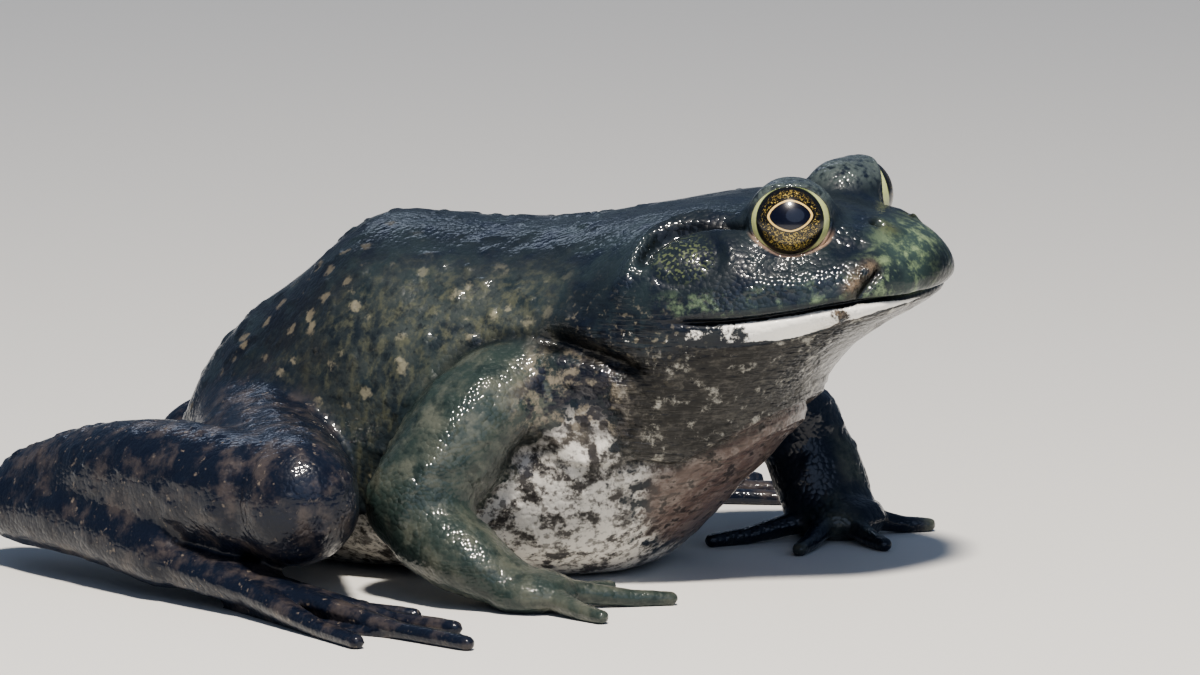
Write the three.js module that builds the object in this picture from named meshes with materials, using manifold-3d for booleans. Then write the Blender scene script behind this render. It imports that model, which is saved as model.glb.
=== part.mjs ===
// American bullfrog, life size, sitting on its belly with the head raised.
//
// Millimetres. +X is forward, +Y is the animal's left, +Z is up. The origin lies on the floor
// under the sacral hump, on the flat of the belly. The trunk and the head are one
// form, parted by thin cuts at the mouth, the nape and the throat. Each limb is a row of solids
// that give way to each other, so every seam is an open gap of the same width.

import * as THREE from "three";
import { mergeVertices } from "three/addons/utils/BufferGeometryUtils.js";
import Module from "manifold-3d";

const wasm = await Module();
wasm.setup();

// ---------------------------------------------------------------- driving dimensions

const GAP = 0.3; // open seam between neighbouring pieces
const TAIL_X = -37.5; // vent, the hind end of the trunk
const SNOUT_X = 99; // tip of the snout
const SNOUT_Z = 54; // height of the tip
const SNOUT_ROUND = 15; // length over which the snout rounds off, seen from above
const SNOUT_DROP = 8; // the same, seen from the side
const TAIL_ROUND = 7; // length over which the hind end rounds off
const HEAD_BACK_X = 44; // nape, where the rings come closer together
const BODY_SIDES = 24; // points round one section of the body
const SMOOTHING = 0.11; // how far a face may move where slivers are cleared away

// Outlines of the body: [x, value]. Heights are over the floor, half widths from the midline.
const BACK = [[-38, 17], [-33, 29], [-28, 37], [-21, 42.6], [-11, 50], [-5, 56], [0, 58.3],
  [10, 58.2], [20, 57.8], [30, 58.3], [40, 60], [52, 62.3], [64, 64], [76, 64], [86, 62.2],
  [93, 60.3], [100, 58.6]];
const BELLY = [[-38, 14], [-32, 7.5], [-25, 2.6], [-17, -0.8], [40, -0.8], [46, 0.2], [54, 7],
  [60, 13.5], [67, 20.5], [73, 29.5], [78, 37], [85, 42], [92, 45], [100, 47]];
const HALF_WIDTH = [[-38, 9], [-30, 16], [-20, 21.5], [-10, 26], [0, 29.5], [12, 32], [24, 32.6],
  [36, 30.5], [46, 29.3], [56, 29.4], [66, 28], [76, 25.2], [86, 21.6], [100, 19]];
const WIDEST_HEIGHT = [[-38, 17], [-20, 19], [0, 20], [22, 21.5], [34, 25], [43, 35], [51, 44],
  [60, 46.5], [74, 47.6], [86, 49.4], [100, 51]];
const CROWN_SQUARENESS = [[-38, 2], [0, 2.15], [30, 2.2], [46, 2.4], [60, 2.9], [76, 2.6],
  [88, 2.2], [100, 2]];
const KEEL_SQUARENESS = [[-38, 2], [-20, 2.3], [0, 2.6], [36, 2.6], [50, 2.2], [62, 2], [78, 1.8],
  [100, 2]];

// Seams of the head, in side view: [x, z].
const MOUTH_CORNER = [54, 46.2];
const MOUTH_LINE = [MOUTH_CORNER, [64, 46.5], [75, 47.3], [84, 48.6], [92, 49.9], [104, 50.4]];
const NAPE_LINE = [MOUTH_CORNER, [48.5, 47.5], [45.5, 53], [44, 60], [43, 70]];
const THROAT_LINE = [MOUTH_CORNER, [48.5, 39], [47.5, 29], [52.5, 21], [60, 16.5], [72, 8]];

// Eyes and their lids, for the left side: the right side is the mirror image.
const EYE = { at: [75.8, 14.8, 62.2], radius: 7 };
const LID_DOME = { at: [75.4, 12.8, 61.5], radii: [8.3, 8.2, 8.1] };
const EYE_LOOKS = [0.34, 0.92, 0.17]; // way the eye looks
const LID_OPENING = 6.3; // radius of the round opening between the lids

// Eardrum, an upright oval disc let into the side of the head.
const EARDRUM = { at: [61.2, 56.2], length: 13.4, height: 9, tilt: 0.1, thick: 1.8 };

// Limbs. A joint is { at: centre, wide: half width, high: half height } of the flesh there.
const UPPER_ARM_RIGHT = [
  { at: [36, -17, 37], wide: 10, high: 10 },
  { at: [26.2, -31.4, 28.5], wide: 10.2, high: 9.4 },
  { at: [19, -40.5, 15.5], wide: 8.6, high: 8.4 },
];
const FOREARM_RIGHT = [
  { at: [20.5, -41, 12.4], wide: 7.2, high: 7 },
  { at: [28, -44, 8.6], wide: 7.2, high: 6.6 },
  { at: [37, -45, 4.6], wide: 6, high: 4.4 },
];
const UPPER_ARM_LEFT = [
  { at: [39, 17, 35], wide: 10, high: 10 },
  { at: [48, 34, 26.5], wide: 8.8, high: 8.8 },
  { at: [57, 45.8, 17.6], wide: 7.7, high: 7.7 },
];
const FOREARM_LEFT = [
  { at: [57.8, 45.6, 15.4], wide: 7.1, high: 7.1 },
  { at: [60, 44.4, 11], wide: 8.8, high: 7 },
  { at: [63.2, 42.2, 5], wide: 9, high: 5 },
];
const THIGH_RIGHT = [
  { at: [-19, -12, 20], wide: 12, high: 12.5 },
  { at: [-8, -35, 18], wide: 12.5, high: 12.5 },
  { at: [6.5, -60, 18.5], wide: 10.5, high: 11 },
];
const SHANK_RIGHT = [
  { at: [0, -58.6, 18.6], wide: 9.6, high: 9.8 },
  { at: [-18, -48.5, 19], wide: 10.2, high: 10 },
  { at: [-39, -37, 16.6], wide: 8.2, high: 8.6 },
  { at: [-54, -28.5, 12.5], wide: 6.4, high: 6.6 },
];
const TARSUS_RIGHT = [
  { at: [-55, -31.5, 9.6], wide: 6, high: 6.2 },
  { at: [-38, -43, 9.8], wide: 5.8, high: 6.2 },
  { at: [-19, -54.8, 7.4], wide: 5.6, high: 5.6 },
];
const HIND_LEFT_SHIFT = [8, -3]; // how far forward and out the left hind leg stands

// Hands and feet. Digits leave one root, each at its own heading (degrees from forward, left
// positive) and with its own length.
const HAND_RIGHT = {
  root: [40.5, -44], lift: 3.6, thick: 2.5, thin: 1.4, palm: [8.6, 7.4, 3.9],
  headings: [112, 68, 30, -28], lengths: [19, 21, 25, 19],
};
const HAND_LEFT = {
  root: [64.8, 41], lift: 3.8, thick: 2.5, thin: 1.4, palm: [8.8, 8, 4.4],
  headings: [-132, -88, -43, 36], lengths: [25, 22, 18, 17],
};
const FOOT_RIGHT = {
  root: [-7, -60], lift: 5, thick: 3, thin: 1.4, instep: [[-17, -55.8, 6.4], [0, -62, 4.4]],
  headings: [7, -3, -13, -24, -39], lengths: [25, 36, 48, 59, 46],
};
const WEB = { thick: 0.9, reach: 0.78, notch: 0.52 }; // thickness, share of each toe, its notch

const CREAM = 0xd9d2bd;
const SLATE_GREEN = 0x2e3a33;
const BLUE_BLACK = 0x1f2530;
const MOTTLED_GREY = 0x5c5a4c;

// ---------------------------------------------------------------- numbers along a line

// A smooth function through [x, value] points that never swings past them.
function smooth(points) {
  const slope = (i) => (points[i + 1][1] - points[i][1]) / (points[i + 1][0] - points[i][0]);
  const last = points.length - 1;
  const tangent = points.map((_, i) => {
    if (i === 0) return slope(0);
    if (i === last) return slope(last - 1);
    const before = slope(i - 1);
    const after = slope(i);
    return before * after <= 0 ? 0 : (2 * before * after) / (before + after);
  });
  return (x) => {
    let i = points.findIndex((p, k) => k > 0 && x <= p[0]) - 1;
    if (i < 0) i = x < points[0][0] ? 0 : last - 1;
    const step = points[i + 1][0] - points[i][0];
    const t = Math.min(1, Math.max(0, (x - points[i][0]) / step));
    const rise = (1 - t) * (1 - t) * (1 + 2 * t);
    const lean = t * (1 - t);
    return rise * points[i][1] + (1 - rise) * points[i + 1][1]
      + step * (lean * (1 - t) * tangent[i] - lean * t * tangent[i + 1]);
  };
}

// How full a rounded end is at a distance from its tip: 0 at the tip, 1 beyond the rounding.
function roundEnd(distance, length) {
  const left = Math.max(0, 1 - distance / length);
  return Math.sqrt(Math.max(0, 1 - left * left));
}

const toward = (start, end, share) => start + (end - start) * share;

// ---------------------------------------------------------------- solids

// A closed geometry as a solid that can be joined and cut.
function solid(geometry) {
  const bare = geometry.clone();
  bare.deleteAttribute("normal");
  bare.deleteAttribute("uv");
  const merged = mergeVertices(bare);
  return new wasm.Manifold(new wasm.Mesh({
    numProp: 3,
    vertProperties: new Float32Array(merged.attributes.position.array),
    triVerts: new Uint32Array(merged.index.array),
  }));
}

// The solid between rings of equal size, closed by a pole at each end.
function loft(rings, firstPole, lastPole) {
  const sides = rings[0].length;
  const points = [firstPole, ...rings.flat(), lastPole];
  const index = [];
  for (let k = 0; k < sides; k += 1) {
    const next = (k + 1) % sides;
    index.push(0, 1 + next, 1 + k);
    for (let r = 0; r < rings.length - 1; r += 1) {
      const near = 1 + r * sides;
      const far = near + sides;
      index.push(near + k, near + next, far + next);
      index.push(near + k, far + next, far + k);
    }
    const end = 1 + (rings.length - 1) * sides;
    index.push(end + k, end + next, points.length - 1);
  }
  const geometry = new THREE.BufferGeometry().setFromPoints(points);
  geometry.setIndex(index);
  return solid(geometry);
}

function ball(at, radii, around = 16, down = 10) {
  const geometry = new THREE.SphereGeometry(1, around, down);
  geometry.scale(...radii);
  geometry.translate(...at);
  return solid(geometry);
}

// Everything above the floor, to give what rests on it a flat.
const ABOVE_FLOOR = solid(new THREE.BoxGeometry(600, 600, 300).translate(0, 0, 150));

const union = (parts) => parts.reduce((sum, part) => sum.add(part));
const without = (part, others) => others.reduce((rest, other) => rest.subtract(other), part);

// ---------------------------------------------------------------- the body as one form

const backHeight = smooth(BACK);
const bellyHeight = smooth(BELLY);
const halfWidth = smooth(HALF_WIDTH);
const widestHeight = smooth(WIDEST_HEIGHT);
const crownSquareness = smooth(CROWN_SQUARENESS);
const keelSquareness = smooth(KEEL_SQUARENESS);

// One ring of the body. Above its widest height it is one rounded arch, below it another.
function bodyRing(x, grow) {
  const plan = roundEnd(SNOUT_X - x, SNOUT_ROUND) * roundEnd(x - TAIL_X, TAIL_ROUND);
  const side = roundEnd(SNOUT_X - x, SNOUT_DROP) * roundEnd(x - TAIL_X, TAIL_ROUND);
  const tipHeight = x > 0 ? SNOUT_Z : widestHeight(x);
  const widest = toward(tipHeight, widestHeight(x), side);
  const top = toward(tipHeight, backHeight(x), side) + grow;
  const bottom = toward(tipHeight, bellyHeight(x), side) - grow;
  const half = halfWidth(x) * plan + grow;
  return Array.from({ length: BODY_SIDES }, (_, k) => {
    const angle = (2 * Math.PI * k) / BODY_SIDES - Math.PI / 2;
    const [across, up] = [Math.cos(angle), Math.sin(angle)];
    const power = 2 / (up > 0 ? crownSquareness(x) : keelSquareness(x));
    const y = half * Math.sign(across) * Math.abs(across) ** power;
    const z = widest + ((up > 0 ? top : bottom) - widest) * Math.abs(up) ** power;
    return new THREE.Vector3(x, y, z);
  });
}

// Ring places: even along the trunk, closer in the head and closest where an end rounds off.
function ringPlaces() {
  const places = [];
  for (const share of [0.03, 0.12, 0.28, 0.55]) places.push(TAIL_X + TAIL_ROUND * share);
  for (let x = TAIL_X + TAIL_ROUND; x < HEAD_BACK_X; x += 6) places.push(x);
  for (let x = HEAD_BACK_X; x < SNOUT_X - SNOUT_ROUND; x += 4.5) places.push(x);
  for (const share of [1, 0.76, 0.54, 0.35, 0.2, 0.09, 0.025]) {
    places.push(SNOUT_X - SNOUT_ROUND * share);
  }
  return places;
}

function bodyForm(grow = 0) {
  const rings = ringPlaces().map((x) => bodyRing(x, grow));
  const tail = new THREE.Vector3(TAIL_X - grow, 0, widestHeight(TAIL_X));
  const snout = new THREE.Vector3(SNOUT_X + grow, 0, SNOUT_Z);
  return loft(rings, tail, snout);
}

// A thin upright sheet along a line in side view, as wide as the body, that cuts a seam.
function seamSheet(points) {
  const curve = new THREE.CatmullRomCurve3(points.map(([x, z]) => new THREE.Vector3(x, z, 0)));
  const middle = curve.getPoints(14);
  const offset = (side) => middle.map((p, i) => {
    const along = curve.getTangent(i / 14);
    return new THREE.Vector2(p.x - side * along.y * GAP / 2, p.y + side * along.x * GAP / 2);
  });
  const shape = new THREE.Shape([...offset(1), ...offset(-1).reverse()]);
  const sheet = new THREE.ExtrudeGeometry(shape, { depth: 80, bevelEnabled: false });
  return solid(sheet.rotateX(Math.PI / 2).translate(0, 40, 0));
}

// ---------------------------------------------------------------- limbs

// A limb from its joints: oval rings across a smooth line. Its far end is rounded over; its near
// end, which lies inside its neighbour, is flat unless `roundStart` is set.
function limb(joints, { sides = 12, steps = 3, grow = 0, roundStart = false } = {}) {
  const line = new THREE.CatmullRomCurve3(joints.map((j) => new THREE.Vector3(...j.at)));
  const wide = smooth(joints.map((j, i) => [i, j.wide]));
  const high = smooth(joints.map((j, i) => [i, j.high]));
  const spans = joints.length - 1;
  const ring = (t, outward, shrink) => {
    const along = line.getTangent(t);
    const side = new THREE.Vector3(-along.y, along.x, 0).normalize();
    const up = new THREE.Vector3().crossVectors(along, side);
    const centre = line.getPoint(t).addScaledVector(along, outward);
    const across = (wide(t * spans) + grow) * shrink;
    const tall = (high(t * spans) + grow) * shrink;
    return Array.from({ length: sides }, (_, k) => {
      const angle = (2 * Math.PI * k) / sides;
      return centre.clone()
        .addScaledVector(side, across * Math.cos(angle))
        .addScaledVector(up, tall * Math.sin(angle));
    });
  };
  const reach = (t) => 0.92 * Math.min(wide(t * spans), high(t * spans)) + grow;
  const turns = [0.45, 1];
  const startTurns = roundStart ? turns.toReversed() : [];
  const rings = [
    ...startTurns.map((a) => ring(0, -reach(0) * Math.sin(a), Math.cos(a))),
    ...Array.from({ length: spans * steps + 1 }, (_, i) => ring(i / (spans * steps), 0, 1)),
    ...turns.map((a) => ring(1, reach(1) * Math.sin(a), Math.cos(a))),
  ];
  const startReach = roundStart ? reach(0) : grow;
  const first = line.getPoint(0).addScaledVector(line.getTangent(0), -startReach);
  const last = line.getPoint(1).addScaledVector(line.getTangent(1), reach(1));
  return loft(rings, first, last);
}

// The same limb on the other side of the body, moved by a step along the floor.
function mirrored(joints, [forward, outward]) {
  return joints.map(({ at: [x, y, z], ...size }) => ({
    at: [x + forward, -y + outward, z],
    ...size,
  }));
}

const radians = THREE.MathUtils.degToRad;

// A point out from the root of a hand or foot, at a heading and a distance.
function reachOut([x, y], heading, distance) {
  const turn = radians(heading);
  return [x + distance * Math.cos(turn), y + distance * Math.sin(turn)];
}

// One finger or toe: it comes down off the root, lies along the floor and ends in a round pad.
function digit({ root, lift, thick, thin }, heading, length) {
  const place = (share) => reachOut(root, heading, length * share);
  const joint = (share, z, size) => ({ at: [...place(share), z], wide: size, high: size * 0.92 });
  return limb([
    joint(0.08, lift, thick),
    joint(0.4, toward(lift, thin, 0.55), toward(thick, thin, 0.45)),
    joint(0.7, thin * 0.95, thin * 1.12),
    joint(0.955, thin * 0.8, thin),
  ], { sides: 6, steps: 1 });
}

// The thin skin between the toes, with a hollow edge from each toe to the next.
function web({ root, headings, lengths }) {
  const edge = (i) => reachOut(root, headings[i], lengths[i] * WEB.reach);
  const shape = new THREE.Shape();
  shape.moveTo(...root);
  shape.lineTo(...edge(0));
  for (let i = 1; i < headings.length; i += 1) {
    const middle = (headings[i - 1] + headings[i]) / 2;
    const notch = Math.min(lengths[i - 1], lengths[i]) * WEB.notch;
    shape.quadraticCurveTo(...reachOut(root, middle, notch), ...edge(i));
  }
  shape.closePath();
  const sheet = { depth: 2 * WEB.thick, bevelEnabled: false, curveSegments: 5 };
  return solid(new THREE.ExtrudeGeometry(shape, sheet).translate(0, 0, -WEB.thick));
}

function hand(size) {
  const digits = size.headings.map((heading, i) => digit(size, heading, size.lengths[i]));
  const palm = ball([...size.root, size.lift * 0.85], size.palm, 10, 6);
  return union([palm, ...digits]).intersect(ABOVE_FLOOR);
}

function foot(size) {
  const digits = size.headings.map((heading, i) => digit(size, heading, size.lengths[i]));
  const instep = limb([
    { at: size.instep[0], wide: 4.4, high: 4.2 },
    { at: size.instep[1], wide: 6.4, high: 3.4 },
  ], { sides: 8, steps: 2 });
  return union([instep, web(size), ...digits]).intersect(ABOVE_FLOOR);
}

// The left foot is the right one mirrored and moved with its leg.
function mirroredFoot(size, [forward, outward]) {
  const flip = ([x, y, ...z]) => [x + forward, -y + outward, ...z];
  return {
    ...size,
    root: flip(size.root),
    instep: size.instep.map(flip),
    headings: size.headings.map((heading) => -heading),
  };
}

// ---------------------------------------------------------------- the head and the trunk

const SIDES = { left: 1, right: -1 };
const onSide = ([x, y, z], side) => [x, y * side, z];

// The round opening between the lids: a short rod along the line of sight.
function lidOpening(side) {
  const looks = new THREE.Vector3(...onSide(EYE_LOOKS, side)).normalize();
  const rod = new THREE.CylinderGeometry(LID_OPENING, LID_OPENING, 12, 16);
  rod.applyQuaternion(new THREE.Quaternion().setFromUnitVectors(new THREE.Vector3(0, 1, 0), looks));
  const centre = new THREE.Vector3(...onSide(EYE.at, side)).addScaledVector(looks, 9);
  rod.translate(centre.x, centre.y, centre.z);
  return solid(rod);
}

// The oval rod that an eardrum is cut from, running in from the side of the head.
function eardrumRod(side, grow) {
  const rod = new THREE.CylinderGeometry(1, 1, 40, 16);
  rod.scale(EARDRUM.length / 2 + grow, 1, EARDRUM.height / 2 + grow);
  rod.rotateY(-EARDRUM.tilt);
  rod.translate(EARDRUM.at[0], side * 30, EARDRUM.at[1]);
  return solid(rod);
}

const whole = bodyForm().intersect(ABOVE_FLOOR);
const parted = without(whole, [MOUTH_LINE, NAPE_LINE, THROAT_LINE].map(seamSheet)).decompose();
const byVolume = parted.filter((piece) => piece.volume() > 100);
const frontFirst = byVolume.toSorted((a, b) => b.boundingBox().min[0] - a.boundingBox().min[0]);
const trunk = frontFirst[2];
const [jaw, skull] = frontFirst.slice(0, 2)
  .toSorted((a, b) => a.boundingBox().min[2] - b.boundingBox().min[2]);

const drumFloor = bodyForm(-EARDRUM.thick);
const drumPocketFloor = bodyForm(-EARDRUM.thick - GAP);
let head = skull;
const eyes = {};
const eardrums = {};
for (const [name, side] of Object.entries(SIDES)) {
  const eyeball = (grow) => ball(onSide(EYE.at, side), Array(3).fill(EYE.radius + grow), 14, 9);
  const dome = ball(onSide(LID_DOME.at, side), LID_DOME.radii, 14, 9);
  head = without(head.add(dome), [eyeball(GAP), lidOpening(side)]);
  head = head.subtract(eardrumRod(side, GAP).subtract(drumPocketFloor));
  eyes[name] = eyeball(0);
  eardrums[name] = whole.intersect(eardrumRod(side, 0)).subtract(drumFloor);
}

// ---------------------------------------------------------------- the limbs in place

const grown = (joints, more) => limb(joints, { grow: GAP, ...more });
const grownBody = bodyForm(GAP * 1.15);
const above = (joints, more) => limb(joints, more).intersect(ABOVE_FLOOR);
const HEEL_END = { roundStart: true };

function arm(upperJoints, lowerJoints, handSize) {
  const handSolid = hand(handSize);
  const upper = without(above(upperJoints), [grownBody]);
  const lower = without(above(lowerJoints), [grownBody, grown(upperJoints)]);
  const palm = without(handSolid, [grownBody, grown(upperJoints), grown(lowerJoints)]);
  return { upper_arm: upper, forearm: lower, hand: palm };
}

function leg(thighJoints, shankJoints, tarsusJoints, footSize) {
  const thigh = without(above(thighJoints), [grownBody]);
  const shank = without(above(shankJoints), [grownBody, grown(thighJoints)]);
  const upperLeg = [grownBody, grown(thighJoints), grown(shankJoints)];
  const tarsus = without(above(tarsusJoints, HEEL_END), upperLeg);
  const footSolid = without(foot(footSize), [...upperLeg, grown(tarsusJoints, HEEL_END)]);
  return { thigh, shank, tarsus, foot: footSolid };
}

const limbs = {
  right: {
    ...arm(UPPER_ARM_RIGHT, FOREARM_RIGHT, HAND_RIGHT),
    ...leg(THIGH_RIGHT, SHANK_RIGHT, TARSUS_RIGHT, FOOT_RIGHT),
  },
  left: {
    ...arm(UPPER_ARM_LEFT, FOREARM_LEFT, HAND_LEFT),
    ...leg(
      mirrored(THIGH_RIGHT, HIND_LEFT_SHIFT),
      mirrored(SHANK_RIGHT, HIND_LEFT_SHIFT),
      mirrored(TARSUS_RIGHT, HIND_LEFT_SHIFT),
      mirroredFoot(FOOT_RIGHT, HIND_LEFT_SHIFT),
    ),
  },
};

// ---------------------------------------------------------------- the named meshes

const frog = new THREE.Group();

// Adds the largest body of a solid as one named mesh, with its slivers smoothed away.
function add(name, shape, color, roughness = 0.35) {
  const bodies = shape.simplify(SMOOTHING).decompose();
  const main = bodies.toSorted((a, b) => b.volume() - a.volume())[0];
  const { vertProperties, triVerts } = main.getMesh();
  const geometry = new THREE.BufferGeometry();
  geometry.setAttribute("position", new THREE.BufferAttribute(vertProperties, 3));
  geometry.setIndex(new THREE.BufferAttribute(triVerts, 1));
  const material = new THREE.MeshStandardMaterial({ color, roughness, metalness: 0 });
  const mesh = new THREE.Mesh(geometry, material);
  mesh.name = name;
  frog.add(mesh);
}

add("trunk", trunk, SLATE_GREEN);
add("head", head, SLATE_GREEN);
add("lower_jaw", jaw, CREAM);
for (const name of Object.keys(SIDES)) {
  add(`eye_${name}`, eyes[name], 0x2b2418, 0.05);
  add(`eardrum_${name}`, eardrums[name], MOTTLED_GREY, 0.4);
  for (const [part, shape] of Object.entries(limbs[name])) {
    const fore = part === "upper_arm" || part === "forearm" || part === "hand";
    add(`${part}_${name}`, shape, fore ? MOTTLED_GREY : BLUE_BLACK);
  }
}

export default frog;
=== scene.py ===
# %% [markdown]
# # An American bullfrog, life size
# This lesson dresses a plain solid model of a sitting bullfrog. The solids give the size, the
# pose and the outline. Here they get one wet skin with lids, folds and warts, a pair of eyes,
# a camera and studio light. The solids are loaded first, and their box is kept, because the
# finished frog has to stay inside it.

# %% Load the solids
import math

import bpy
import numpy as np
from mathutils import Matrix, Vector
from mathutils.bvhtree import BVHTree


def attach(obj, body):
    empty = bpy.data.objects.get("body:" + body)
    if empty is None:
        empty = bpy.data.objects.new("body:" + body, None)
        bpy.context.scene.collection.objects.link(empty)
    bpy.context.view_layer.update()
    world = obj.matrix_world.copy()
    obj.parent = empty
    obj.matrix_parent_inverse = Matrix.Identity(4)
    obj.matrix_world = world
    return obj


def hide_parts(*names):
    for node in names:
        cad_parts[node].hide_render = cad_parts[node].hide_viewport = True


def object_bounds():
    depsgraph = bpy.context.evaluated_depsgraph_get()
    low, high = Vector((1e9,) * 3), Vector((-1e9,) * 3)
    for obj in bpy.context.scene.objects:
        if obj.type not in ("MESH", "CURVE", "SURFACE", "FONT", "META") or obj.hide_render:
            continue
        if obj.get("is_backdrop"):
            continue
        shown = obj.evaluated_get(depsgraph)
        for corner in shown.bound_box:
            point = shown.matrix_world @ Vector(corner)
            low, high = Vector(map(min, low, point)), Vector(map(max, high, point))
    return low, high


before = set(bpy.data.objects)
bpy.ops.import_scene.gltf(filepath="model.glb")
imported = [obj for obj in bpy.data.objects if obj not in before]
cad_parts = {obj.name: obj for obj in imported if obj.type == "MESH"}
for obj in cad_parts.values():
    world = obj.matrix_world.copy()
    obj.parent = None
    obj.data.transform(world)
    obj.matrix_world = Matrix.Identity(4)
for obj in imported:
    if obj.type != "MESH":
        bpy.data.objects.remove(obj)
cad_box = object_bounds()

scene = bpy.context.scene
MM = 0.001
print("solids:", len(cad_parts), "box in mm:", [[round(c / MM, 1) for c in p] for p in cad_box])

# %% [markdown]
# ## The camera
# A frog is pictured from low down and from far off, with a long lens, so that nothing bulges.
# The camera turns round a point between the shoulders and the jaw. Its lens is worked out from
# how much of the scene its frame should take in at that point.

# %% Camera
AIM = Vector((37.2, 0, 38.5)) * MM
CAMERA_TURN = math.radians(20)
CAMERA_RISE = math.radians(9)
CAMERA_AWAY = 2.5
FRAME_WIDTH = 0.2
SENSOR_WIDTH = 36

to_camera = Vector((
    math.sin(CAMERA_TURN) * math.cos(CAMERA_RISE),
    -math.cos(CAMERA_TURN) * math.cos(CAMERA_RISE),
    math.sin(CAMERA_RISE),
))
camera = bpy.data.objects.new("camera", bpy.data.cameras.new("camera"))
scene.collection.objects.link(camera)
scene.camera = camera
camera.location = AIM + to_camera * CAMERA_AWAY
camera.rotation_euler = to_camera.to_track_quat("Z", "Y").to_euler()
camera.data.sensor_width = SENSOR_WIDTH
camera.data.lens = SENSOR_WIDTH * CAMERA_AWAY / FRAME_WIDTH
camera.data.clip_start = 0.1
camera.data.clip_end = 50
print("camera at", [round(c, 3) for c in camera.location], "lens", round(camera.data.lens), "mm")

# %% [markdown]
# ## Floor and light
# The floor is a board in pale matt paint, which scatters light evenly and shows soft shadows
# without glare. It curves up far behind, so that no edge shows. Wet skin shows its form mostly
# by what it mirrors. A small, warm key lamp high in front draws the sharp glints by which the
# eye knows that skin is wet. A broad, cool fill from the front opens the shadows, and a weak
# rim lamp behind lifts the edge of the back. The world is a pale sky colour, which is what
# gives a dark wet back its blue.

# %% Node helper and colours
def linear(code):
    """Turns a hex sRGB colour into the linear numbers that a shader takes."""
    values = [int(code[i:i + 2], 16) / 255 for i in (0, 2, 4)]
    turned = [v / 12.92 if v <= 0.04045 else ((v + 0.055) / 1.055) ** 2.4 for v in values]
    return (*turned, 1)


def add_node(tree, kind, inputs, output=0, **settings):
    """Adds a shader node with its settings and gives its first output, or the one asked for.

    An input is a value, or another node's output, which is linked to it.
    """
    made = tree.nodes.new("ShaderNode" + kind)
    for name, value in settings.items():
        setattr(made, name, value)
    for name, value in inputs.items():
        if isinstance(value, bpy.types.NodeSocket):
            tree.links.new(value, made.inputs[name])
        else:
            made.inputs[name].default_value = value
    return made.outputs[output] if made.outputs else None


def new_material(name):
    """A material without nodes yet, and the tree that its nodes go into."""
    material = bpy.data.materials.new(name)
    material.use_nodes = True
    material.node_tree.nodes.clear()
    return material, material.node_tree


print("mid grey in linear light:", [round(v, 3) for v in linear("808080")[:3]])

# %% Floor
def select_only(*things):
    """Deselects everything, then selects these objects and makes the first one active."""
    for other in bpy.context.selected_objects:
        other.select_set(False)
    for thing in things:
        thing.select_set(True)
        bpy.context.view_layer.objects.active = things[0]


def apply_modifier(thing, kind, **settings):
    """Gives the active object a modifier with these settings, and applies it."""
    modifier = thing.modifiers.new(kind.lower(), kind)
    for name, value in settings.items():
        setattr(modifier, name, value)
    bpy.ops.object.modifier_apply(modifier=modifier.name)


FLOOR_REACH = 9
FLOOR_RISE = 3
COVE_WIDTH = 0.8 * FLOOR_RISE
COVE_STEPS = 12
BACK_STRIP = 0.9

select_only()
bpy.ops.mesh.primitive_plane_add(size=2 * FLOOR_REACH, location=(0, 0, 0))
floor = bpy.context.object
floor.name = "studio_floor"
bpy.ops.object.mode_set(mode="EDIT")
bpy.ops.mesh.select_mode(type="EDGE")
bpy.ops.mesh.select_all(action="DESELECT")
bpy.ops.object.mode_set(mode="OBJECT")
for edge in floor.data.edges:
    ends = [floor.data.vertices[i].co.y for i in edge.vertices]
    edge.select = min(ends) > FLOOR_REACH * BACK_STRIP
bpy.ops.object.mode_set(mode="EDIT")
bpy.ops.mesh.extrude_edges_move(TRANSFORM_OT_translate={"value": (0, 0, FLOOR_RISE)})
bpy.ops.object.mode_set(mode="OBJECT")
apply_modifier(floor, "BEVEL", width=COVE_WIDTH, segments=COVE_STEPS)
bpy.ops.object.shade_smooth()

paint, tree = new_material("matt_floor_paint")
paper = add_node(tree, "BsdfPrincipled", {
    "Base Color": linear("d9d8d4"), "Roughness": 0.85, "Specular IOR Level": 0.2})
add_node(tree, "OutputMaterial", {"Surface": paper})
floor.data.materials.append(paint)
floor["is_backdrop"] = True
print("floor has", len(floor.data.polygons), "faces")

# %% Lamps and world
def add_panel(name, place, size, watts, colour):
    """An oval lamp that faces the frog and isn't seen itself. Places and sizes are in metres."""
    lamp = bpy.data.lights.new(name, "AREA")
    lamp.shape = "ELLIPSE"
    lamp.size, lamp.size_y = size
    lamp.energy = watts
    lamp.color = linear(colour)[:3]
    holder = bpy.data.objects.new(name, lamp)
    scene.collection.objects.link(holder)
    holder.visible_camera = False
    holder.location = place
    holder.rotation_euler = (Vector(place) - AIM).to_track_quat("Z", "Y").to_euler()


add_panel("key_panel", (0.235, -0.495, 1.0), (0.13, 0.13), 21, "fff6ea")
add_panel("fill_panel", (1.9, -2.4, 1.5), (3.6, 2.6), 19, "cfdfff")
add_panel("rim_panel", (-0.5, 0.8, 0.65), (0.5, 0.2), 0.4, "e4eeff")

sky = bpy.data.worlds.new("pale_studio")
scene.world = sky
sky.use_nodes = True
sky.node_tree.nodes.clear()
glow = add_node(sky.node_tree, "Background", {
    "Color": linear("b4caee"), "Strength": 0.25})
add_node(sky.node_tree, "OutputWorld", {"Surface": glow})
scene.view_settings.look = "AgX - Medium High Contrast"

# %% [markdown]
# ## One skin from many solids
# A living frog has one skin and no seams. The solids are parted by thin gaps, so copies of them
# are swelled until they touch, joined, and wrapped by a voxel remesh, which keeps only the
# outside. The eyeballs join in too, so that the skin already bulges over them. The voxels are
# half a millimetre, about the size of a grain of the skin.

# %% Copies of the flesh
SWELL = 0.22 * MM
VOXEL = 0.5 * MM
MERGE = 0.002 * MM
EYES = ["eye_left", "eye_right"]

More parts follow.
